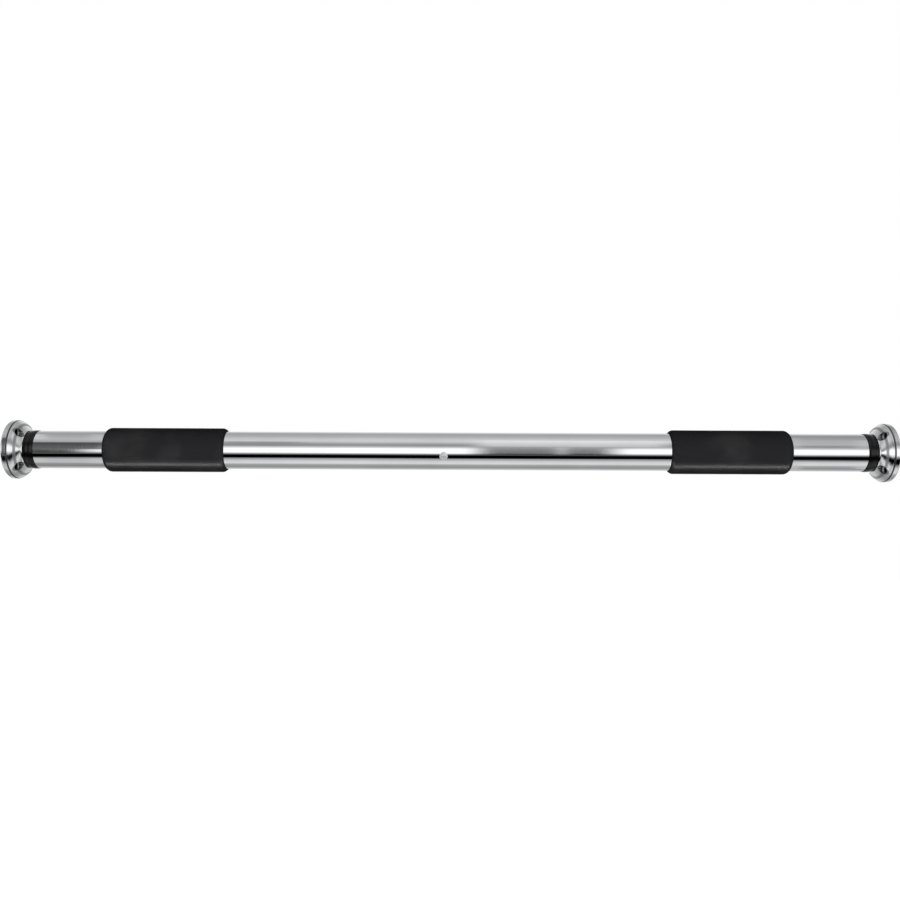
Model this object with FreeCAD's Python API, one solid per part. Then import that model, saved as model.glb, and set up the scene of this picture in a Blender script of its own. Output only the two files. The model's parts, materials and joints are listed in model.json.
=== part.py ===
# Telescopic doorway pull-up bar: a chromed outer tube with two foam grips, an inner tube that a
# drive screw pushes out of its right-hand end, and a swivelling rubber foot at each end that seats
# in a cast cup screwed to the door jamb.
#
# Frame: millimetres. The origin is the centre of the left cup's wall face, +X runs along the bar
# to the right-hand jamb, -Y is the front and +Z is up. The bar is at its shortest.
import FreeCAD, Part

import math
import os

# ---- driving dimensions ----
TUBE_R = 14.0  # outer tube, 28 x 1.5
TUBE_BORE_R = 12.5
TUBE_LENGTH = 616.3
INNER_R = 11.0  # inner tube, 22 x 1.5
INNER_BORE_R = 9.5

CUP_R = 21.9
CUP_DEPTH = 12.6
CUP_EDGE = 1.4  # rounding of the rim at the wall
CUP_RIM_END = 4.0  # where the plain rim ends and the first crowned band begins
CUP_STEP = (8.9, 18.75)  # where the first crowned band ends, as (distance from the wall, radius)
CUP_STEP_DEPTH = 0.4
CUP_BAND_END = (11.7, 14.95)  # where the second crowned band ends
NECK_R = 14.3  # the cup where it meets the collar
CUP_FLOOR = 2.0  # metal left between the socket and the wall
SOCKET_R = 12.05
SCREW_CIRCLE_R = 17.6
SCREW_COUNT = 4
SCREW_HOLE_R = 1.9
SCREW_HEAD_R = 3.3
SCREW_SEAT_X = 8.4  # where the countersink meets the head pocket
OVERSHOOT = 1.0  # how far a cutting tool runs past the surface it cuts

COLLAR_GAP = 0.3  # running gap between a cup and the collar beside it
COLLAR_LENGTH = 7.1
COLLAR_R = 14.05
LIP_R = 14.45  # crowned ring of the collar, beside the tube
LIP_WIDTH = 5.2
LIP_CROWN = 0.3
PLUG_DEPTH = 25.0  # how far the left plug and the guide reach into the outer tube
PLUG_FACE_R = 10.9  # faces the thrust washer
PLUG_HOLLOW_R = 9.0
PLUG_CHAMFER = 1.0
GUIDE_CHAMFER = 0.4
RIGHT_FLANGE = 1.5  # flange of the right plug, against the inner tube's end
RIGHT_PLUG_DEPTH = 22.0
RIGHT_PLUG_HOLLOW_R = 7.0
RUNNING = 0.06  # radial clearance of a pin or screw in its hole
SLIDING = 0.1  # radial clearance of the telescoping tubes in their guides

FOOT_R = 11.8
FOOT_START = CUP_FLOOR
FOOT_END = 11.3
FOOT_WEB_START = 6.9  # the rubber that the bush's flange pulls on
FOOT_RECESS_R = 6.2
FOOT_CHAMFER = 0.8
FOOT_RIB = 1.0
FOOT_GROOVE = 0.8
BUSH_R = 4.8
BUSH_FLANGE_R = 6.1
BUSH_FLANGE = 0.8
END_PLAY = 0.1  # lets the foot turn between the bolt's head and the thrust washer
BOLT_R = 3.0
SHOULDER_R = 3.6
BOLT_HEAD_R = 5.5
BOLT_HEAD = 3.0
BOLT_SOCKET = 4.0  # hexagon key, across flats
BOLT_LENGTH = 28.0
BOLT_CHAMFER = 0.5
THRUST_START = FOOT_END + END_PLAY
THRUST_R = 8.0
THRUST_END = THRUST_START + 0.8  # also the outer face of both end plugs
PLUG_WALL_END = 23.0  # inner face of the wall that the swivel bolt clamps
WASHER_R = 6.0
WASHER = 1.0
NUT_FLATS = 10.0
NUT = 5.0

GRIP_R = 16.5
GRIP_LENGTH = 89.5
GRIP_EDGE = 3.6  # how far along the bar each end is rounded
GRIP_STEP = 0.3  # height of the foam's flat edge, where it meets the tube
GRIP_OFFSETS = {"left_grip": -212.2, "right_grip": 207.6}  # from the middle of the bar

THREAD_R = 6.0  # Tr12 x 3 drive screw, at its major diameter
THREAD_LEAD = 3.0
TURNS = 66
NUT_LENGTH = 30.0
NUT_OFFSET = -5.3  # middle of the nut block, from the middle of the bar
RIVET_ANGLE = 15.0  # degrees below the front
RIVET_R = 2.0
RIVET_HEAD_R = 3.1
RIVET_HEAD_HEIGHT = 1.2
RIVET_ROOT_R = 8.5  # how deep a rivet reaches, from the bar's axis
SLIDE_RING_LENGTH = 15.0
SCREW_PLUG_LENGTH = 32.0
SCREW_PLUG_FLANGE = 2.0
SCREW_PLUG_GAP = 8.0  # between the nut block and the screw plug when the bar is shortest
CROSS_PIN_DEPTH = 24.0  # from the inner tube's hidden end
CROSS_PIN_R = 2.0
STOP_GAP = 0.4  # left between the stop washer and the nut block at full reach
STOP_WASHER = 2.0
STOP_WASHER_R = 10.5
STOP_NUT = 10.0
STOP_NUT_FLATS = 19.0
SCREW_TAIL = 4.0
SCREW_CHAMFER = 1.5

# ---- places along the bar that follow from them ----
COLLAR_START = CUP_DEPTH + COLLAR_GAP
TUBE_START = COLLAR_START + COLLAR_LENGTH
TUBE_END = TUBE_START + TUBE_LENGTH
BAR_LENGTH = TUBE_START + TUBE_END
MIDDLE = BAR_LENGTH / 2
BUSH_START = FOOT_WEB_START - BUSH_FLANGE
BOLT_HEAD_END = BUSH_START - END_PLAY
BOLT_HEAD_START = BOLT_HEAD_END - BOLT_HEAD
TRAVEL = TURNS * THREAD_LEAD

NUT_MIDDLE = MIDDLE + NUT_OFFSET
NUT_START = NUT_MIDDLE - NUT_LENGTH / 2
NUT_END = NUT_MIDDLE + NUT_LENGTH / 2
INNER_START = NUT_END + SCREW_PLUG_GAP + SCREW_PLUG_FLANGE
INNER_END = BAR_LENGTH - THRUST_END - RIGHT_FLANGE
CROSS_PIN_X = INNER_START + CROSS_PIN_DEPTH
STOP_WASHER_END = NUT_START - TRAVEL - STOP_GAP

AXIS = FreeCAD.Vector(1, 0, 0)
ORIGIN = FreeCAD.Vector(0, 0, 0)


# ---- helpers ----
def point(place):
    """A point of a lathe outline, (distance along the bar, radius), as a vector."""
    return FreeCAD.Vector(place[0], 0, place[1])


def lathe(*steps):
    """Turns a closed outline about the bar's axis. A step is (x, r), reached by a straight line,
    or ((x, r), (x, r)), reached by an arc through the first of the two."""
    start = steps[0]
    edges = []
    here = start
    for step in [*steps[1:], start]:
        if isinstance(step[0], tuple):
            through, end = step
            edges.append(Part.Arc(point(here), point(through), point(end)).toShape())
        else:
            end = step
            edges.append(Part.LineSegment(point(here), point(end)).toShape())
        here = end
    return Part.Face(Part.Wire(edges)).revolve(ORIGIN, AXIS, 360)


def ring(start, end, inner, outer, chamfer=0.0):
    """A sleeve or washer between two places along the bar, with its outer edges chamfered."""
    if not chamfer:
        return lathe((start, inner), (start, outer), (end, outer), (end, inner))
    return lathe(
        (start, inner),
        (start, outer - chamfer),
        (start + chamfer, outer),
        (end - chamfer, outer),
        (end, outer - chamfer),
        (end, inner),
    )


def rod(start, end, radius, chamfer):
    """A round bar on the axis with chamfered ends."""
    return lathe(
        (start, 0),
        (start, radius - chamfer),
        (start + chamfer, radius),
        (end - chamfer, radius),
        (end, radius - chamfer),
        (end, 0),
    )


def hexagon(start, end, across_flats):
    """A hexagonal prism on the axis."""
    corner = across_flats / math.sqrt(3)
    corners = []
    for i in range(7):
        angle = math.radians(60 * i)
        corners.append(FreeCAD.Vector(start, corner * math.cos(angle), corner * math.sin(angle)))
    face = Part.Face(Part.makePolygon(corners))
    return face.extrude(FreeCAD.Vector(end - start, 0, 0))


def hex_nut(start, end, across_flats, bore):
    """A hexagonal nut whose corners are turned off at 30 degrees on both faces."""
    corner = across_flats / math.sqrt(3)
    turned = (corner - across_flats / 2) * math.tan(math.radians(30))
    barrel = lathe(
        (start, 0),
        (start, across_flats / 2),
        (start + turned, corner),
        (end - turned, corner),
        (end, across_flats / 2),
        (end, 0),
    )
    hole = Part.makeCylinder(bore, end - start, FreeCAD.Vector(start, 0, 0), AXIS)
    return hexagon(start, end, across_flats).common(barrel).cut(hole)


def spoke(x, direction, radius, inner, outer):
    """A round pin that lies along a direction square to the bar, between two distances from it."""
    return Part.makeCylinder(radius, outer - inner, FreeCAD.Vector(x, 0, 0) + direction * inner, direction)


def at_right_end(shape):
    """The same piece for the right-hand end: mirrored about the middle of the bar."""
    return shape.mirror(FreeCAD.Vector(MIDDLE, 0, 0), AXIS)


# ---- end fittings, drawn at the left-hand end ----
def cup_screw_holes():
    """Countersunk holes for wood screws, parallel to the bar, on the cup's screw circle."""
    sink = SCREW_HEAD_R - SCREW_HOLE_R
    tools = []
    for i in range(SCREW_COUNT):
        tool = lathe(
            (-OVERSHOOT, 0),
            (-OVERSHOOT, SCREW_HOLE_R),
            (SCREW_SEAT_X - sink, SCREW_HOLE_R),
            (SCREW_SEAT_X, SCREW_HEAD_R),
            (CUP_DEPTH + OVERSHOOT, SCREW_HEAD_R),
            (CUP_DEPTH + OVERSHOOT, 0),
        )
        tool.translate(FreeCAD.Vector(0, 0, SCREW_CIRCLE_R))
        tool.rotate(ORIGIN, AXIS, 360 * (i + 0.5) / SCREW_COUNT)
        tools.append(tool)
    return tools


def cup():
    """Cast jamb cup: a plain rim, two crowned bands with a fine step between them, and a blind
    socket for the foot."""
    diagonal = CUP_EDGE * (1 - math.sqrt(0.5))
    step_x, step_r = CUP_STEP
    mouth = 0.5
    body = lathe(
        (0, 0),
        (0, CUP_R - CUP_EDGE),
        ((diagonal, CUP_R - diagonal), (CUP_EDGE, CUP_R)),
        (CUP_RIM_END, CUP_R),
        ((CUP_RIM_END + 0.9, CUP_R - 0.15), (CUP_RIM_END + 1.6, CUP_R - 0.6)),
        ((step_x - 1.5, step_r + 1.4), CUP_STEP),
        (step_x - 0.15, step_r - CUP_STEP_DEPTH),
        ((step_x + 1.5, step_r - 2.15), CUP_BAND_END),
        ((CUP_DEPTH - 0.5, NECK_R + 0.15), (CUP_DEPTH, NECK_R)),
        (CUP_DEPTH, SOCKET_R + mouth),
        (CUP_DEPTH - mouth, SOCKET_R),
        (CUP_FLOOR, SOCKET_R),
        (CUP_FLOOR, 0),
    )
    return body.cut(cup_screw_holes())


def foot():
    """Rubber foot: ribbed where it faces the socket floor, recessed for the swivel bolt's head."""
    steps = [(FOOT_START, FOOT_RECESS_R)]
    r = FOOT_RECESS_R + FOOT_RIB
    while r + 2 * FOOT_RIB < FOOT_R:
        steps += [(FOOT_START, r), (FOOT_START + FOOT_GROOVE, r)]
        steps += [(FOOT_START + FOOT_GROOVE, r + FOOT_RIB), (FOOT_START, r + FOOT_RIB)]
        r += 2 * FOOT_RIB
    steps += [
        (FOOT_START, FOOT_R - FOOT_CHAMFER),
        (FOOT_START + FOOT_CHAMFER, FOOT_R),
        (FOOT_END - FOOT_CHAMFER, FOOT_R),
        (FOOT_END, FOOT_R - FOOT_CHAMFER),
        (FOOT_END, BUSH_R),
        (FOOT_WEB_START, BUSH_R),
        (FOOT_WEB_START, FOOT_RECESS_R),
    ]
    return lathe(*steps)


def foot_bush():
    """Flanged steel bush, moulded into the foot, that the swivel bolt's shoulder runs in."""
    bore = SHOULDER_R + RUNNING
    return lathe(
        (BUSH_START, bore),
        (BUSH_START, BUSH_FLANGE_R),
        (FOOT_WEB_START, BUSH_FLANGE_R),
        (FOOT_WEB_START, BUSH_R),
        (FOOT_END, BUSH_R),
        (FOOT_END, bore),
    )


def swivel_bolt():
    """Shoulder bolt that the foot turns on, with a hexagon socket in its head. The shoulder
    clamps the thrust washer, so the foot stays free."""
    end = BOLT_HEAD_START + BOLT_LENGTH
    body = lathe(
        (BOLT_HEAD_START, 0),
        (BOLT_HEAD_START, BOLT_HEAD_R - BOLT_CHAMFER),
        (BOLT_HEAD_START + BOLT_CHAMFER, BOLT_HEAD_R),
        (BOLT_HEAD_END, BOLT_HEAD_R),
        (BOLT_HEAD_END, SHOULDER_R),
        (THRUST_START, SHOULDER_R),
        (THRUST_START, BOLT_R),
        (end - BOLT_CHAMFER, BOLT_R),
        (end, BOLT_R - BOLT_CHAMFER),
        (end, 0),
    )
    return body.cut(hexagon(BOLT_HEAD_START, BOLT_HEAD_START + BOLT_HEAD - 1, BOLT_SOCKET))


def thrust_washer():
    """Washer between the foot and the end plug."""
    return ring(THRUST_START, THRUST_END, BOLT_R + RUNNING, THRUST_R)


def bolt_washer():
    """Washer under the swivel bolt's nut, inside the tube."""
    return ring(PLUG_WALL_END, PLUG_WALL_END + WASHER, BOLT_R + RUNNING, WASHER_R)


def bolt_nut():
    """Nut that holds the swivel bolt in its plug."""
    start = PLUG_WALL_END + WASHER
    return hex_nut(start, start + NUT, NUT_FLATS, BOLT_R)


def collar_outline():
    """The visible collar beside a cup: a narrow ring, then a wider crowned one that meets the
    tube."""
    corner = 0.4
    diagonal = corner * (1 - math.sqrt(0.5))
    lip = TUBE_START - LIP_WIDTH
    return [
        (COLLAR_START, COLLAR_R - corner),
        ((COLLAR_START + diagonal, COLLAR_R - diagonal), (COLLAR_START + corner, COLLAR_R)),
        (lip, COLLAR_R),
        (lip, LIP_R - LIP_CROWN),
        ((lip + LIP_WIDTH / 2, LIP_R), (TUBE_START, LIP_R - LIP_CROWN)),
        (TUBE_START, TUBE_BORE_R),
    ]


def left_end_plug():
    """Moulded plug in the outer tube's left end, with the collar outside it."""
    inside = TUBE_START + PLUG_DEPTH
    return lathe(
        (THRUST_END, BOLT_R + RUNNING),
        (THRUST_END, PLUG_FACE_R),
        (COLLAR_START, PLUG_FACE_R),
        *collar_outline(),
        (inside - PLUG_CHAMFER, TUBE_BORE_R),
        (inside, TUBE_BORE_R - PLUG_CHAMFER),
        (inside, PLUG_HOLLOW_R),
        (PLUG_WALL_END, PLUG_HOLLOW_R),
        (PLUG_WALL_END, BOLT_R + RUNNING),
    )


def guide_collar():
    """Moulded guide in the outer tube's right end, which the inner tube slides and turns in."""
    bore = INNER_R + SLIDING
    inside = TUBE_START + PLUG_DEPTH
    shape = lathe(
        (COLLAR_START, bore + GUIDE_CHAMFER),
        *collar_outline(),
        (inside, TUBE_BORE_R),
        (inside, bore + GUIDE_CHAMFER),
        (inside - GUIDE_CHAMFER, bore),
        (COLLAR_START + GUIDE_CHAMFER, bore),
    )
    return at_right_end(shape)


def right_end_plug():
    """Moulded plug in the inner tube's right end."""
    flange_end = THRUST_END + RIGHT_FLANGE
    inside = flange_end + RIGHT_PLUG_DEPTH
    shape = lathe(
        (THRUST_END, BOLT_R + RUNNING),
        (THRUST_END, PLUG_FACE_R),
        (flange_end, PLUG_FACE_R),
        (flange_end, INNER_BORE_R),
        (inside - PLUG_CHAMFER, INNER_BORE_R),
        (inside, INNER_BORE_R - PLUG_CHAMFER),
        (inside, RIGHT_PLUG_HOLLOW_R),
        (PLUG_WALL_END, RIGHT_PLUG_HOLLOW_R),
        (PLUG_WALL_END, BOLT_R + RUNNING),
    )
    return at_right_end(shape)


# ---- tubes and grips ----
def rivet_directions():
    """Where the two nut-block rivets point, away from the bar's axis."""
    angle = math.radians(RIVET_ANGLE)
    front = FreeCAD.Vector(0, -math.cos(angle), -math.sin(angle))
    return [front, front * -1]


def outer_tube():
    """Chromed outer tube, drilled for the nut block's rivets."""
    tube = ring(TUBE_START, TUBE_END, TUBE_BORE_R, TUBE_R, chamfer=0.3)
    inner = TUBE_BORE_R - OVERSHOOT
    outer = TUBE_R + OVERSHOOT
    return tube.cut([spoke(NUT_MIDDLE, d, RIVET_R, inner, outer) for d in rivet_directions()])


def grip(offset):
    """Foam sleeve with rounded ends, stretched over the outer tube."""
    start = MIDDLE + offset - GRIP_LENGTH / 2
    end = start + GRIP_LENGTH
    foot_r = TUBE_R + GRIP_STEP
    rise = GRIP_R - foot_r
    arc_r = (GRIP_EDGE**2 + rise**2) / (2 * rise)
    halfway = math.asin(GRIP_EDGE / arc_r) / 2
    along = GRIP_EDGE - arc_r * math.sin(halfway)
    shoulder_r = GRIP_R - arc_r * (1 - math.cos(halfway))
    return lathe(
        (start, TUBE_R),
        (start, foot_r),
        ((start + along, shoulder_r), (start + GRIP_EDGE, GRIP_R)),
        (end - GRIP_EDGE, GRIP_R),
        ((end - along, shoulder_r), (end, foot_r)),
        (end, TUBE_R),
    )


def inner_tube():
    """Chromed inner tube, drilled for the drive screw's cross pin."""
    tube = ring(INNER_START, INNER_END, INNER_BORE_R, INNER_R, chamfer=0.3)
    return tube.cut(cross_pin(INNER_R + OVERSHOOT))


def slide_ring():
    """Plastic ring that centres the inner tube's hidden end in the outer tube."""
    end = INNER_START + SLIDE_RING_LENGTH
    return ring(INNER_START, end, INNER_R, TUBE_BORE_R - SLIDING, chamfer=0.5)


# ---- drive screw ----
def nut_block():
    """Threaded block inside the outer tube, held by two rivets."""
    block = ring(NUT_START, NUT_END, THREAD_R + RUNNING, TUBE_BORE_R, chamfer=0.8)
    holes = [spoke(NUT_MIDDLE, d, RIVET_R, RIVET_ROOT_R, TUBE_R) for d in rivet_directions()]
    return block.cut(holes)


def nut_rivets():
    """Two domed rivets, through the outer tube and into the nut block."""
    cap_r = (RIVET_HEAD_R**2 + RIVET_HEAD_HEIGHT**2) / (2 * RIVET_HEAD_HEIGHT)
    drop = TUBE_R - math.sqrt(TUBE_R**2 - RIVET_HEAD_R**2)
    tube = Part.makeCylinder(TUBE_R, NUT_LENGTH, FreeCAD.Vector(NUT_START, 0, 0), AXIS)
    rivets = []
    for direction in rivet_directions():
        top = FreeCAD.Vector(NUT_MIDDLE, 0, 0) + direction * (TUBE_R + RIVET_HEAD_HEIGHT)
        dome = Part.makeSphere(cap_r, top - direction * cap_r)
        column = spoke(
            NUT_MIDDLE, direction, RIVET_HEAD_R, TUBE_R - drop, TUBE_R + RIVET_HEAD_HEIGHT + OVERSHOOT
        )
        head = dome.common(column).cut(tube)
        shank = spoke(NUT_MIDDLE, direction, RIVET_R, RIVET_ROOT_R, TUBE_R + RIVET_HEAD_HEIGHT / 2)
        rivets.append(head.fuse(shank).removeSplitter().Solids[0])
    return Part.makeCompound(rivets)


def cross_pin(reach):
    """A pin square to the bar through the inner tube, the screw plug and the drive screw."""
    return spoke(CROSS_PIN_X, FreeCAD.Vector(0, 0, 1), CROSS_PIN_R, -reach, reach)


def drive_screw():
    """Drive screw, drawn as a plain rod at the thread's major diameter."""
    start = STOP_WASHER_END - STOP_WASHER - STOP_NUT - SCREW_TAIL
    end = INNER_START + SCREW_PLUG_LENGTH - SCREW_CHAMFER
    return rod(start, end, THREAD_R, SCREW_CHAMFER).cut(cross_pin(THREAD_R + OVERSHOOT))


def screw_plug():
    """Steel plug that joins the drive screw to the inner tube."""
    start = INNER_START - SCREW_PLUG_FLANGE
    end = INNER_START + SCREW_PLUG_LENGTH
    corner = 0.5
    body = lathe(
        (start, THREAD_R),
        (start, INNER_R - corner),
        (start + corner, INNER_R),
        (INNER_START, INNER_R),
        (INNER_START, INNER_BORE_R),
        (end - PLUG_CHAMFER, INNER_BORE_R),
        (end, INNER_BORE_R - PLUG_CHAMFER),
        (end, THREAD_R),
    )
    return body.cut(cross_pin(INNER_R + OVERSHOOT))


def stop_washer():
    """Washer that meets the nut block when the bar is fully out."""
    start = STOP_WASHER_END - STOP_WASHER
    return ring(start, STOP_WASHER_END, THREAD_R + RUNNING, STOP_WASHER_R)


def stop_nut():
    """Nut that carries the stop washer on the drive screw's free end."""
    end = STOP_WASHER_END - STOP_WASHER
    return hex_nut(end - STOP_NUT, end, STOP_NUT_FLATS, THREAD_R)


def pieces():
    """Every sub-part by its node name."""
    made = {
        "left_end_plug": left_end_plug(),
        "guide_collar": guide_collar(),
        "right_end_plug": right_end_plug(),
        "outer_tube": outer_tube(),
        "inner_tube": inner_tube(),
        "slide_ring": slide_ring(),
        "nut_block": nut_block(),
        "nut_rivets": nut_rivets(),
        "drive_screw": drive_screw(),
        "screw_plug": screw_plug(),
        "screw_pin": cross_pin(INNER_R - 0.2),
        "stop_washer": stop_washer(),
        "stop_nut": stop_nut(),
    }
    for name, offset in GRIP_OFFSETS.items():
        made[name] = grip(offset)
    both_ends = {
        "cup": cup,
        "foot": foot,
        "foot_bush": foot_bush,
        "swivel_bolt": swivel_bolt,
        "thrust_washer": thrust_washer,
        "bolt_washer": bolt_washer,
        "bolt_nut": bolt_nut,
    }
    for name, make in both_ends.items():
        made[f"left_{name}"] = make()
        made[f"right_{name}"] = at_right_end(make())
    return made


os.makedirs("parts", exist_ok=True)
for node, shape in pieces().items():
    shape.exportStep(f"parts/{node}.step")
    valid = shape.isValid() and all(solid.isClosed() and solid.Volume > 0 for solid in shape.Solids)
    print(f"{node}: {len(shape.Solids)} solid(s), {shape.Volume:.0f} mm3, valid {valid}")
print(f"bar {BAR_LENGTH:.1f} mm, reach {BAR_LENGTH + TRAVEL:.1f} mm, travel {TRAVEL:.1f} mm")
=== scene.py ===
# Looks of the pull-up bar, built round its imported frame. Metres, in the frame's own axes: +X runs
# along the bar from the left cup's wall face, -Y is the front and +Z is up.
import json
import math

import bmesh
import bpy
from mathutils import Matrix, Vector, noise


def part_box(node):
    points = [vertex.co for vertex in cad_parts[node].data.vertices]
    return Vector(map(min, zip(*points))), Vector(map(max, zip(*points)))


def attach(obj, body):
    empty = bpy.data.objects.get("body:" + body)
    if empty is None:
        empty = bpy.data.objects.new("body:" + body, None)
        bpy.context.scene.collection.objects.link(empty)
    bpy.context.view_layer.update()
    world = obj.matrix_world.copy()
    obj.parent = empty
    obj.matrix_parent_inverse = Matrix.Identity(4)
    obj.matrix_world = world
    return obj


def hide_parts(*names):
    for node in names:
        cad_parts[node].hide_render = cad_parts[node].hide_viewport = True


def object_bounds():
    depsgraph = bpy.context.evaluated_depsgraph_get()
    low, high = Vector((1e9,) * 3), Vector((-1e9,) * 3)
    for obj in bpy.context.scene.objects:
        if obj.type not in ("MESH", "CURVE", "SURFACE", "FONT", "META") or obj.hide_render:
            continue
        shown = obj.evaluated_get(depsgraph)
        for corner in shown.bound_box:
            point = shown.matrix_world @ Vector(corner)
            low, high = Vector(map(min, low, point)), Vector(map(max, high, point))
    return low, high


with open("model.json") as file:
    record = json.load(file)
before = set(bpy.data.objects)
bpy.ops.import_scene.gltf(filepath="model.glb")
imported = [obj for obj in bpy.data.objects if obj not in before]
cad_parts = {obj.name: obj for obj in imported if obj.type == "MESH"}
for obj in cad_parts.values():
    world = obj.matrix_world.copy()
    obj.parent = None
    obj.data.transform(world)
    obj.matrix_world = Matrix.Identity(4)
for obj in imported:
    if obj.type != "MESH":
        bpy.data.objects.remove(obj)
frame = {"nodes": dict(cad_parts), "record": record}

CAD_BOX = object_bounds()
MM = 0.001
BAR_MIDDLE = (CAD_BOX[0] + CAD_BOX[1]) / 2

SCREW_SPACING = 35.2 * MM / math.sqrt(2)  # between neighbouring screw holes of a cup
SCREW_HOLE_RADIUS = 1.9 * MM
SCREW_HEAD_RADIUS = 3.3 * MM
CUP_RIM_GROOVE = 4.5 * MM  # depths from the wall of the two grooves round a cup, drawn as dark lines of painted shade
CUP_BAND_GROOVE = 8.8 * MM
GRIP_EDGE = 3.6 * MM  # how far along the bar each end of a grip is rounded
GRIP_STEP = 0.3 * MM  # height of the foam's flat edge, where it meets the tube
GRIP_SEGMENTS = 128

# ---- the studio's sizes ----
CAMERA_DISTANCE = 0.676
CAMERA_RISE = 0.0009
CAMERA_ROLL = math.radians(0.246)
CAMERA_SHIFT = -0.0006
LENS = 36.0
SENSOR = 36.0
FLOOR_DEPTH = 1.1
FLOOR_SIZE = 14.0

# Brightness round the bar, seen from it: degrees above the front, and how bright it is there.
SURROUND = [
    (-180, 0.62),
    (-150, 0.66),
    (-135, 0.45),
    (-119, 0.32),
    (-98, 0.40),
    (-81, 0.80),
    (-66, 0.72),
    (-52, 0.33),
    (-46, 0.03),
    (-41, 0.0),
    (-27, 0.0),
    (-22, 0.15),
    (-14, 0.75),
    (-8, 1.25),
    (12, 1.25),
    (22, 0.70),
    (29, 0.42),
    (35, 0.31),
    (41, 0.36),
    (48, 0.49),
    (62, 0.70),
    (77, 0.66),
    (93, 0.52),
    (112, 0.44),
    (128, 0.42),
    (139, 0.56),
    (155, 0.80),
    (180, 0.62),
]
# Cards that stand before parts of that surround: broad ones that vary the bands along the bar, then
# four pairs of narrow ones that put a glint beside each collar and each grip's outer end. Each has
# its two sides, as slopes from the bar's middle, the softness of the sides, its lowest and highest
# angles above the front, its brightness at the lowest and at the highest, and how much of what is
# behind it it hides.
CARDS = [
    (-0.60, -0.375, 0.02, 50, 120, 0.25, 0.35, 0.4),
    (-0.60, -0.375, 0.02, 4, 46, 0.14, 0.07, 1.0),
    (-0.60, -0.405, 0.045, -21, 8, 0.03, 0.14, 1.0),
    (-0.60, -0.375, 0.02, -125, -62, 0.15, 0.25, 0.35),
    (-0.26, -0.165, 0.04, 30, 56, 0.30, 0.33, 0.85),
    (0.03, 0.24, 0.03, 30, 72, 0.75, 0.95, 0.7),
    (0.03, 0.183, 0.04, -22, 28, 0.03, 0.40, 1.0),
    (0.117, 0.131, 0.005, -18, 26, 0.40, 0.65, 0.8),
    (0.34, 0.60, 0.05, 55, 130, 0.20, 0.20, 0.4),
    (-0.466, -0.451, 0.008, 66, 108, 0.80, 0.80, 0.8),
    (-0.466, -0.451, 0.008, -86, -55, 0.70, 0.70, 0.6),
    (-0.397, -0.384, 0.010, 58, 108, 0.68, 0.68, 0.75),
    (-0.397, -0.384, 0.010, -95, -55, 0.68, 0.68, 0.75),
    (0.376, 0.388, 0.010, 30, 105, 0.66, 0.50, 0.7),
    (0.376, 0.388, 0.010, -130, -60, 0.66, 0.66, 0.7),
    (0.453, 0.464, 0.008, 28, 85, 0.75, 0.62, 0.8),
    (0.453, 0.464, 0.008, -118, -60, 0.85, 0.75, 0.8),
]


# ---- node helpers ----
def put(tree, kind, **sockets):
    """Adds a shader node. A socket given a number or colour is set, and one given a socket is linked."""
    made = tree.nodes.new(kind)
    for name, value in sockets.items():
        socket = made.inputs[name.replace("_", " ")]
        if isinstance(value, bpy.types.NodeSocket):
            tree.links.new(value, socket)
        else:
            socket.default_value = value
    return made


def maths(tree, operation, *values):
    """A Math node's result."""
    made = tree.nodes.new("ShaderNodeMath")
    made.operation = operation
    for socket, value in zip(made.inputs, values):
        if isinstance(value, bpy.types.NodeSocket):
            tree.links.new(value, socket)
        else:
            socket.default_value = value
    return made.outputs[0]


def remap(tree, value, low, high, to_low, to_high, smooth=False):
    """Value, which runs from low to high, moved to run from to_low to to_high."""
    made = tree.nodes.new("ShaderNodeMapRange")
    made.interpolation_type = "SMOOTHSTEP" if smooth else "LINEAR"
    tree.links.new(value, made.inputs["Value"])
    for name, number in zip(("From Min", "From Max", "To Min", "To Max"), (low, high, to_low, to_high)):
        made.inputs[name].default_value = number
    return made.outputs["Result"]


def mix(tree, share, first, second):
    """Two colours mixed by share."""
    made = tree.nodes.new("ShaderNodeMix")
    made.data_type = "RGBA"
    for socket, value in zip((made.inputs[0], made.inputs[6], made.inputs[7]), (share, first, second)):
        if isinstance(value, bpy.types.NodeSocket):
            tree.links.new(value, socket)
        else:
            socket.default_value = value
    return made.outputs[2]


def grey(value):
    return (value, value, value, 1.0)


def grain(tree, place, scale, detail=2.0, roughness=0.5, stretch=(1, 1, 1)):
    """Noise over the surface: scale is in cycles a metre, and stretch thins it along each axis."""
    if stretch != (1, 1, 1):
        place = put(tree, "ShaderNodeMapping", Vector=place, Scale=stretch).outputs[0]
    made = put(
        tree, "ShaderNodeTexNoise", Vector=place, Scale=scale, Detail=detail, Roughness=roughness
    )
    return made.outputs["Fac"]


def bump(tree, height, distance, strength=1.0, below=None):
    """Height as relief, in metres, on top of the relief below."""
    made = put(tree, "ShaderNodeBump", Height=height, Distance=distance, Strength=strength)
    if below is not None:
        tree.links.new(below, made.inputs["Normal"])
    return made.outputs[0]


def start_material(name):
    """A new material: its tree, its shader and the place on the surface in metres."""
    material = bpy.data.materials.new(name)
    material.use_nodes = True
    tree = material.node_tree
    shader = tree.nodes["Principled BSDF"]
    place = tree.nodes.new("ShaderNodeTexCoord").outputs["Object"]
    return material, tree, shader, place


def length(tree, first, second):
    """Length of the diagonal across two sides that are square to each other."""
    squares = [maths(tree, "MULTIPLY", side, side) for side in (first, second)]
    return maths(tree, "SQRT", maths(tree, "ADD", *squares))


def around_axis(tree, place):
    """The same place with its direction round the bar unrolled: (along, angle x radius, radius)."""
    parts = put(tree, "ShaderNodeSeparateXYZ", Vector=place)
    x, y, z = parts.outputs
    angle = maths(tree, "ARCTAN2", z, y)
    radius = length(tree, y, z)
    round_bar = maths(tree, "MULTIPLY", angle, radius)
    return put(tree, "ShaderNodeCombineXYZ", X=x, Y=round_bar, Z=radius).outputs[0]


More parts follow.
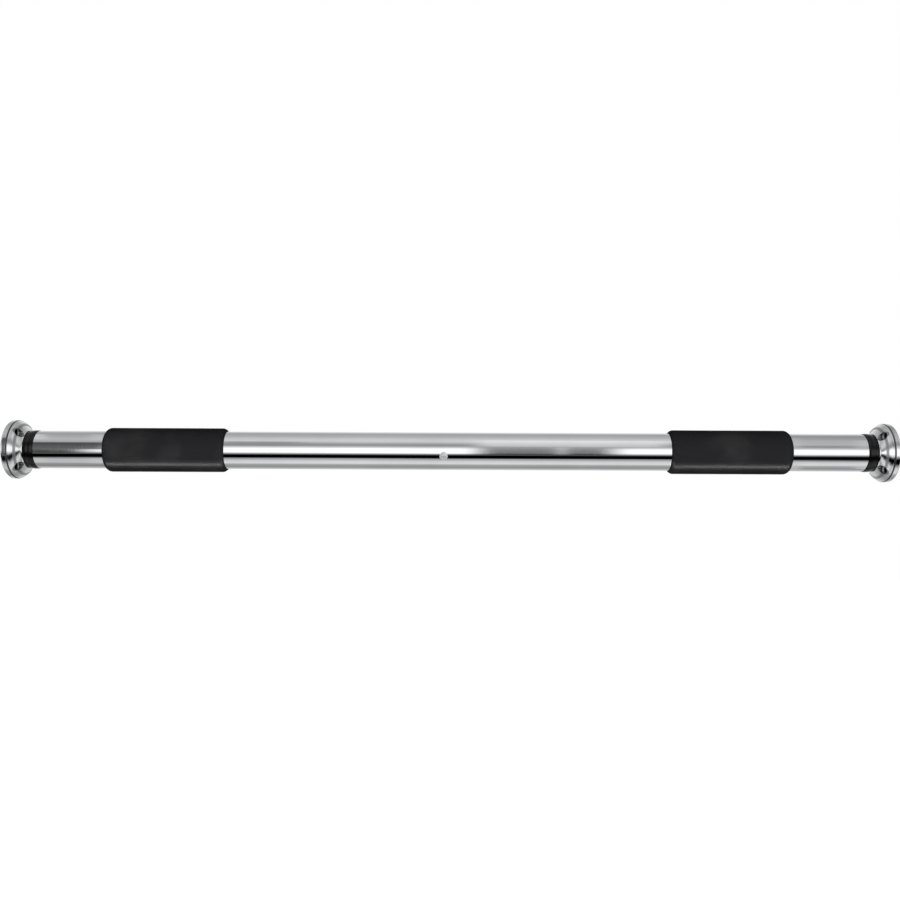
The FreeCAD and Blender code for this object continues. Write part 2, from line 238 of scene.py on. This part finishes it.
# ---- materials ----
def screw_hole_shade(tree, place):
    """1 inside the cups' screw holes, less in the pockets for the screws' heads, and 0 outside them:
    where shade is painted into these hollows."""
    parts = put(tree, "ShaderNodeSeparateXYZ", Vector=place)
    _, y, z = parts.outputs
    off = [
        maths(tree, "SUBTRACT", maths(tree, "ABSOLUTE", side), SCREW_SPACING / 2) for side in (y, z)
    ]
    from_axis = length(tree, *off)
    hole = remap(
        tree, from_axis, SCREW_HOLE_RADIUS * 1.25, SCREW_HOLE_RADIUS * 1.5, 1, 0, smooth=True
    )
    pocket = remap(
        tree, from_axis, SCREW_HEAD_RADIUS, SCREW_HEAD_RADIUS * 1.05, 0.6, 0, smooth=True
    )
    return maths(tree, "MAXIMUM", hole, pocket)


def groove_shade_line(tree, depth, centre, half_width, strength):
    """A dark line of painted shade round a cup where one band of it meets the next, at a depth
    from the wall.
    """
    off = maths(tree, "ABSOLUTE", maths(tree, "SUBTRACT", depth, centre))
    return remap(tree, off, half_width * 0.4, half_width, strength, 0, smooth=True)


def cup_painted_shade(tree, place):
    """Where shade is painted on a cup, darker and rougher: in its screw holes, but not on the wall
    face round them, and in the two grooves between its bands."""
    along = put(tree, "ShaderNodeSeparateXYZ", Vector=place).outputs[0]
    depth = maths(tree, "MINIMUM", along, maths(tree, "SUBTRACT", CAD_BOX[1].x, along))
    off_the_wall = remap(tree, depth, 0.3 * MM, 1.0 * MM, 0, 1, smooth=True)
    inside = maths(tree, "MULTIPLY", screw_hole_shade(tree, place), off_the_wall)
    rim = groove_shade_line(tree, depth, CUP_RIM_GROOVE, 0.8 * MM, 0.9)
    band = groove_shade_line(tree, depth, CUP_BAND_GROOVE, 0.9 * MM, 0.5)
    return maths(tree, "MAXIMUM", maths(tree, "MAXIMUM", inside, rim), band)


def chrome(name, colour, roughness, ripple=0.0, cup=False):
    """Chrome plate: a faint haze of handling, hairline scratches round the bar, and, on castings,
    a slight ripple under the plate."""
    material, tree, shader, place = start_material(name)
    haze = grain(tree, place, 18, detail=4, roughness=0.6)
    hairs = grain(tree, place, 400, detail=3, roughness=0.7, stretch=(6, 0.4, 0.4))
    scuffs = remap(tree, hairs, 0.52, 0.72, 0, 1, smooth=True)
    hazed = remap(tree, haze, 0.35, 0.75, roughness, roughness * 2.2)
    rough = maths(tree, "ADD", hazed, maths(tree, "MULTIPLY", scuffs, 0.05))
    dull = [c * 0.93 for c in colour]
    base = mix(tree, remap(tree, haze, 0.4, 0.7, 0, 1), (*colour, 1), (*dull, 1))
    if cup:
        painted_shade = cup_painted_shade(tree, place)
        # painted shade: the screw holes and the two grooves are darkened towards grey(0.012), and made
        # rougher too
        base = mix(tree, painted_shade, base, grey(0.012))
        rough = maths(tree, "ADD", rough, maths(tree, "MULTIPLY", painted_shade, 0.4))
    tree.links.new(rough, shader.inputs["Roughness"])
    tree.links.new(base, shader.inputs["Base Color"])
    relief = bump(tree, hairs, 0.000004, 0.25)
    if ripple:
        relief = bump(tree, grain(tree, place, 160, detail=2), ripple, 1.0, below=relief)
    tree.links.new(relief, shader.inputs["Normal"])
    shader.inputs["Metallic"].default_value = 1.0
    return material


def machined(name, colour, roughness):
    """Turned or plated steel and brass: fine rings round the axis and slight blotches."""
    material, tree, shader, place = start_material(name)
    rings = grain(tree, place, 900, detail=2, stretch=(4, 0.3, 0.3))
    blotch = grain(tree, place, 60, detail=3)
    rough = remap(tree, rings, 0.3, 0.7, roughness * 0.8, roughness * 1.4)
    tree.links.new(rough, shader.inputs["Roughness"])
    dark = [c * 0.78 for c in colour]
    base = mix(tree, remap(tree, blotch, 0.4, 0.7, 0, 1), (*colour, 1), (*dark, 1))
    tree.links.new(base, shader.inputs["Base Color"])
    tree.links.new(bump(tree, rings, 0.00001, 0.4), shader.inputs["Normal"])
    shader.inputs["Metallic"].default_value = 1.0
    return material


def moulded(name, colour, roughness, relief, scale, shine=0.5):
    """Moulded plastic or rubber: an even spark-eroded grain, with scuffs that are slightly paler."""
    material, tree, shader, place = start_material(name)
    fine = grain(tree, place, scale, detail=3, roughness=0.6)
    wear = grain(tree, place, 90, detail=5, roughness=0.7)
    scuff = remap(tree, wear, 0.55, 0.75, 0, 1, smooth=True)
    pale = [min(1.0, c * 1.8 + 0.001) for c in colour]
    base = mix(tree, maths(tree, "MULTIPLY", scuff, 0.5), (*colour, 1), (*pale, 1))
    tree.links.new(base, shader.inputs["Base Color"])
    even = remap(tree, fine, 0.3, 0.7, roughness * 0.85, roughness * 1.15)
    rough = maths(tree, "ADD", even, maths(tree, "MULTIPLY", scuff, 0.12))
    tree.links.new(rough, shader.inputs["Roughness"])
    tree.links.new(bump(tree, fine, relief, 0.8), shader.inputs["Normal"])
    shader.inputs["Specular IOR Level"].default_value = shine
    return material


def foam():
    """Closed-cell foam with a fine skin: small pores, soft dents and faint rubbed patches."""
    material, tree, shader, place = start_material("grip_foam")
    flat = around_axis(tree, place)
    cells = put(tree, "ShaderNodeTexVoronoi", Vector=flat, Scale=1500.0)
    pore = remap(tree, cells.outputs["Distance"], 0.0, 0.45, 0, 1, smooth=True)
    skin = grain(tree, flat, 700, detail=4, roughness=0.65)
    dents = grain(tree, place, 70, detail=3)
    wear = grain(tree, place, 34, detail=4, roughness=0.6)
    rubbed = remap(tree, wear, 0.45, 0.7, 0, 1, smooth=True)
    base = mix(tree, rubbed, (0.0028, 0.0028, 0.0030, 1), (0.0044, 0.0044, 0.0046, 1))
    # painted shade in the pores: the hollows of the cells are darkened towards grey(0.0015)
    pore_shade = maths(tree, "MULTIPLY", maths(tree, "SUBTRACT", 1, pore), 0.55)
    base = mix(tree, pore_shade, base, grey(0.0015))
    tree.links.new(base, shader.inputs["Base Color"])
    tree.links.new(remap(tree, skin, 0.3, 0.7, 0.25, 0.33), shader.inputs["Roughness"])
    relief = bump(tree, pore, 0.00006, 0.6)
    relief = bump(tree, skin, 0.00005, 0.6, below=relief)
    relief = bump(tree, dents, 0.0003, 0.35, below=relief)
    tree.links.new(relief, shader.inputs["Normal"])
    shader.inputs["Specular IOR Level"].default_value = 0.001
    return material


def make_materials():
    """One material for each of the record's slots."""
    black = (0.0015, 0.0015, 0.0017)
    cup_plate = (0.82, 0.83, 0.84)
    return {
        "tube_chrome": chrome("tube_chrome", (0.86, 0.87, 0.88), 0.035),
        "cup_chrome": chrome("cup_chrome", cup_plate, 0.07, ripple=0.00010, cup=True),
        "rivet_steel": chrome("rivet_steel", (0.98, 0.98, 0.98), 0.42),
        "collar_plastic": moulded("collar_plastic", black, 0.12, 0.000003, 2500, shine=0.3),
        "slide_plastic": moulded("slide_plastic", (0.62, 0.61, 0.56), 0.45, 0.00002, 1800),
        "foot_rubber": moulded("foot_rubber", (0.018, 0.018, 0.018), 0.62, 0.00004, 1600),
        "bush_steel": machined("bush_steel", (0.56, 0.56, 0.55), 0.30),
        "fastener_zinc": machined("fastener_zinc", (0.66, 0.67, 0.69), 0.26),
        "screw_steel": machined("screw_steel", (0.46, 0.46, 0.45), 0.34),
        "nut_brass": machined("nut_brass", (0.80, 0.60, 0.28), 0.28),
        "grip_foam": foam(),
    }


def dress_frame(materials):
    """Gives every CAD node its slot's material."""
    for entry in frame["record"]["subparts"]:
        slots = frame["nodes"][entry["node"]].material_slots
        for slot in slots:
            slot.material = materials[entry["material_slot"]]


# ---- foam grips ----
def grip_profile(span, inner, outer):
    """Half-section of a grip, (along, radius), from the tube at one end to the tube at the other."""
    arc_steps = 12
    run_steps = 110
    rise = outer - inner - GRIP_STEP
    arc_radius = (GRIP_EDGE**2 + rise**2) / (2 * rise)
    opening = math.asin(GRIP_EDGE / arc_radius)
    end = [(0.1 * MM, inner - 0.2 * MM)]
    for i in range(arc_steps + 1):
        turn = opening * (1 - i / arc_steps)
        along = GRIP_EDGE - arc_radius * math.sin(turn)
        end.append((along, outer - arc_radius * (1 - math.cos(turn))))
    level = span - 2 * GRIP_EDGE
    run = [(GRIP_EDGE + level * i / run_steps, outer) for i in range(1, run_steps)]
    return end + run + [(span - along, radius) for along, radius in reversed(end)]


def soft_dent(place):
    """How far the foam's surface stands in, from slow unevenness of the sleeve and finer skin."""
    slow = noise.noise(place * 22.0)
    fine = noise.noise(place * 160.0 + Vector((7.0, 3.0, 1.0)))
    return 0.10 * MM * (slow + 1) / 2 + 0.035 * MM * (fine + 1) / 2


def foam_grip(name, node, body, material):
    """A foam sleeve round the tube in the space of a CAD grip, with rounded ends and slightly
    uneven skin."""
    low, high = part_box(node)
    tube_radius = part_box("outer_tube")[1].z
    profile = grip_profile(high.x - low.x, tube_radius, high.z)
    mesh = bpy.data.meshes.new(name)
    piece = bpy.data.objects.new(name, mesh)
    bpy.context.scene.collection.objects.link(piece)
    b = bmesh.new()
    rings = []
    for along, radius in profile:
        ring = []
        for i in range(GRIP_SEGMENTS):
            turn = 2 * math.pi * i / GRIP_SEGMENTS
            place = Vector((low.x + along, radius * math.cos(turn), radius * math.sin(turn)))
            depth = soft_dent(place) if radius > tube_radius + 1 * MM else 0.0
            place.y -= depth * math.cos(turn)
            place.z -= depth * math.sin(turn)
            ring.append(b.verts.new(place))
        rings.append(ring)
    for first, second in zip(rings, rings[1:] + rings[:1]):
        for i in range(GRIP_SEGMENTS):
            j = (i + 1) % GRIP_SEGMENTS
            face = b.faces.new((first[i], first[j], second[j], second[i]))
            face.smooth = True
    bmesh.ops.recalc_face_normals(b, faces=b.faces)
    b.to_mesh(mesh)
    b.free()
    mesh.materials.append(material)
    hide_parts(node)
    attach(piece, body)
    return piece


# ---- studio ----
def make_camera():
    data = bpy.data.cameras.new("camera")
    data.lens = LENS
    data.sensor_width = SENSOR
    camera = bpy.data.objects.new("camera", data)
    camera.location = (BAR_MIDDLE.x + CAMERA_SHIFT, -CAMERA_DISTANCE, CAMERA_RISE)
    camera.rotation_euler = (math.pi / 2, -CAMERA_ROLL, 0)
    bpy.context.scene.collection.objects.link(camera)
    bpy.context.scene.camera = camera


def make_floor():
    material, tree, shader, place = start_material("studio_floor")
    tone = remap(tree, grain(tree, place, 3, detail=3), 0.3, 0.7, 0.9, 0.93)
    tree.links.new(tone, shader.inputs["Base Color"])
    shader.inputs["Roughness"].default_value = 0.9
    shader.inputs["Emission Color"].default_value = grey(1.0)
    shader.inputs["Emission Strength"].default_value = 0.6
    half = FLOOR_SIZE / 2
    mesh = bpy.data.meshes.new("studio_floor")
    corners = [(-half, -half, 0), (half, -half, 0), (half, half, 0), (-half, half, 0)]
    mesh.from_pydata(corners, [], [(0, 1, 2, 3)])
    mesh.materials.append(material)
    floor = bpy.data.objects.new("studio_floor", mesh)
    floor.location = (BAR_MIDDLE.x, 0, -FLOOR_DEPTH)
    floor.visible_glossy = False
    bpy.context.scene.collection.objects.link(floor)


def stand_card(tree, bands, slope, rise, brightest, left, right, fade, low, high, foot, top, cover):
    """Stands a card before the bands of the surround."""
    soft = math.radians(4)
    low = math.radians(low)
    high = math.radians(high)
    across = maths(
        tree,
        "MULTIPLY",
        remap(tree, slope, left - fade / 2, left + fade / 2, 0, 1, smooth=True),
        remap(tree, slope, right - fade / 2, right + fade / 2, cover, 0, smooth=True),
    )
    upright = maths(
        tree,
        "MULTIPLY",
        remap(tree, rise, low - soft, low + soft, 0, 1, smooth=True),
        remap(tree, rise, high - soft, high + soft, 1, 0, smooth=True),
    )
    level = remap(tree, rise, low, high, foot / brightest, top / brightest)
    return mix(tree, maths(tree, "MULTIPLY", across, upright), bands, level)


def make_surround():
    """The studio's walls as a world: plain white to the camera, and bands of light and shade round
    the bar for the chrome to reflect."""
    world = bpy.data.worlds.new("studio")
    world.use_nodes = True
    bpy.context.scene.world = world
    tree = world.node_tree
    way = tree.nodes.new("ShaderNodeTexCoord").outputs["Generated"]
    parts = put(tree, "ShaderNodeSeparateXYZ", Vector=way)
    x, y, z = parts.outputs
    rise = maths(tree, "ARCTAN2", z, maths(tree, "MULTIPLY", y, -1))
    share = remap(tree, rise, -math.pi, math.pi, 0, 1)
    ramp = tree.nodes.new("ShaderNodeValToRGB")
    ramp.color_ramp.interpolation = "EASE"
    tree.links.new(share, ramp.inputs[0])
    stops = ramp.color_ramp.elements
    brightest = max(level for _, level in SURROUND)
    for i, (angle, level) in enumerate(SURROUND):
        at = (angle + 180) / 360
        if i in (0, len(SURROUND) - 1):
            stop = stops[0 if i == 0 else -1]
            stop.position = at
        else:
            stop = stops.new(at)
        stop.color = grey(level / brightest)
    bands = ramp.outputs[0]
    aside = maths(tree, "SQRT", maths(tree, "SUBTRACT", 1, maths(tree, "MULTIPLY", x, x)))
    slope = maths(tree, "DIVIDE", x, maths(tree, "MAXIMUM", aside, 0.001))
    for card in CARDS:
        bands = stand_card(tree, bands, slope, rise, brightest, *card)
    reflected = put(tree, "ShaderNodeBackground", Color=bands, Strength=brightest)
    plain = put(tree, "ShaderNodeBackground", Color=grey(1.0), Strength=1.0)
    seen = tree.nodes.new("ShaderNodeLightPath").outputs["Is Camera Ray"]
    joined = tree.nodes.new("ShaderNodeMixShader")
    tree.links.new(seen, joined.inputs[0])
    tree.links.new(reflected.outputs[0], joined.inputs[1])
    tree.links.new(plain.outputs[0], joined.inputs[2])
    tree.links.new(joined.outputs[0], tree.nodes["World Output"].inputs["Surface"])


def softbox(name, place, aim, width, height, watts):
    """A large area light that the chrome doesn't mirror."""
    data = bpy.data.lights.new(name, "AREA")
    data.shape = "RECTANGLE"
    data.size = width
    data.size_y = height
    data.energy = watts
    lamp = bpy.data.objects.new(name, data)
    lamp.location = place
    lamp.rotation_euler = (Vector(aim) - Vector(place)).to_track_quat("-Z", "Y").to_euler()
    lamp.visible_glossy = False
    lamp.visible_camera = False
    bpy.context.scene.collection.objects.link(lamp)
    return lamp


def make_grip_lights(grips):
    """Lamps that light only the dark foam: broad ones in front and behind, and a strip below it that
    draws a line along the grips' lower front."""
    only = bpy.data.collections.new("foam_only")
    for grip in grips:
        only.objects.link(grip)
    aim = (BAR_MIDDLE.x, 0, 0)
    front = softbox("foam_front", (BAR_MIDDLE.x, -1.5, 0), aim, width=1.2, height=0.3, watts=150)
    back = softbox("foam_back", (BAR_MIDDLE.x, 1.5, 0), aim, width=1.2, height=0.3, watts=130)
    below = (BAR_MIDDLE.x, -0.12, -0.8)
    strip = softbox("foam_strip", below, aim, width=1.6, height=0.05, watts=1000)
    strip.visible_glossy = True
    strip.visible_diffuse = False
    for lamp in (front, back, strip):
        lamp.light_linking.receiver_collection = only


def make_studio(grips):
    bpy.context.scene.view_settings.view_transform = "Standard"
    make_floor()
    make_surround()
    aim = (BAR_MIDDLE.x, 0, 0)
    softbox("key", (BAR_MIDDLE.x - 0.8, -1.7, 0.9), aim, width=1.8, height=1.0, watts=14)
    softbox("fill", (BAR_MIDDLE.x + 0.9, -1.6, -0.5), aim, width=1.6, height=0.8, watts=8)
    softbox("back", (BAR_MIDDLE.x, 1.8, 1.0), aim, width=2.0, height=1.0, watts=12)
    make_grip_lights(grips)


make_camera()
materials = make_materials()
dress_frame(materials)
grips = [
    foam_grip(f"{side}_grip_foam", f"{side}_grip", "outer", materials["grip_foam"])
    for side in ("left", "right")
]
make_studio(grips)
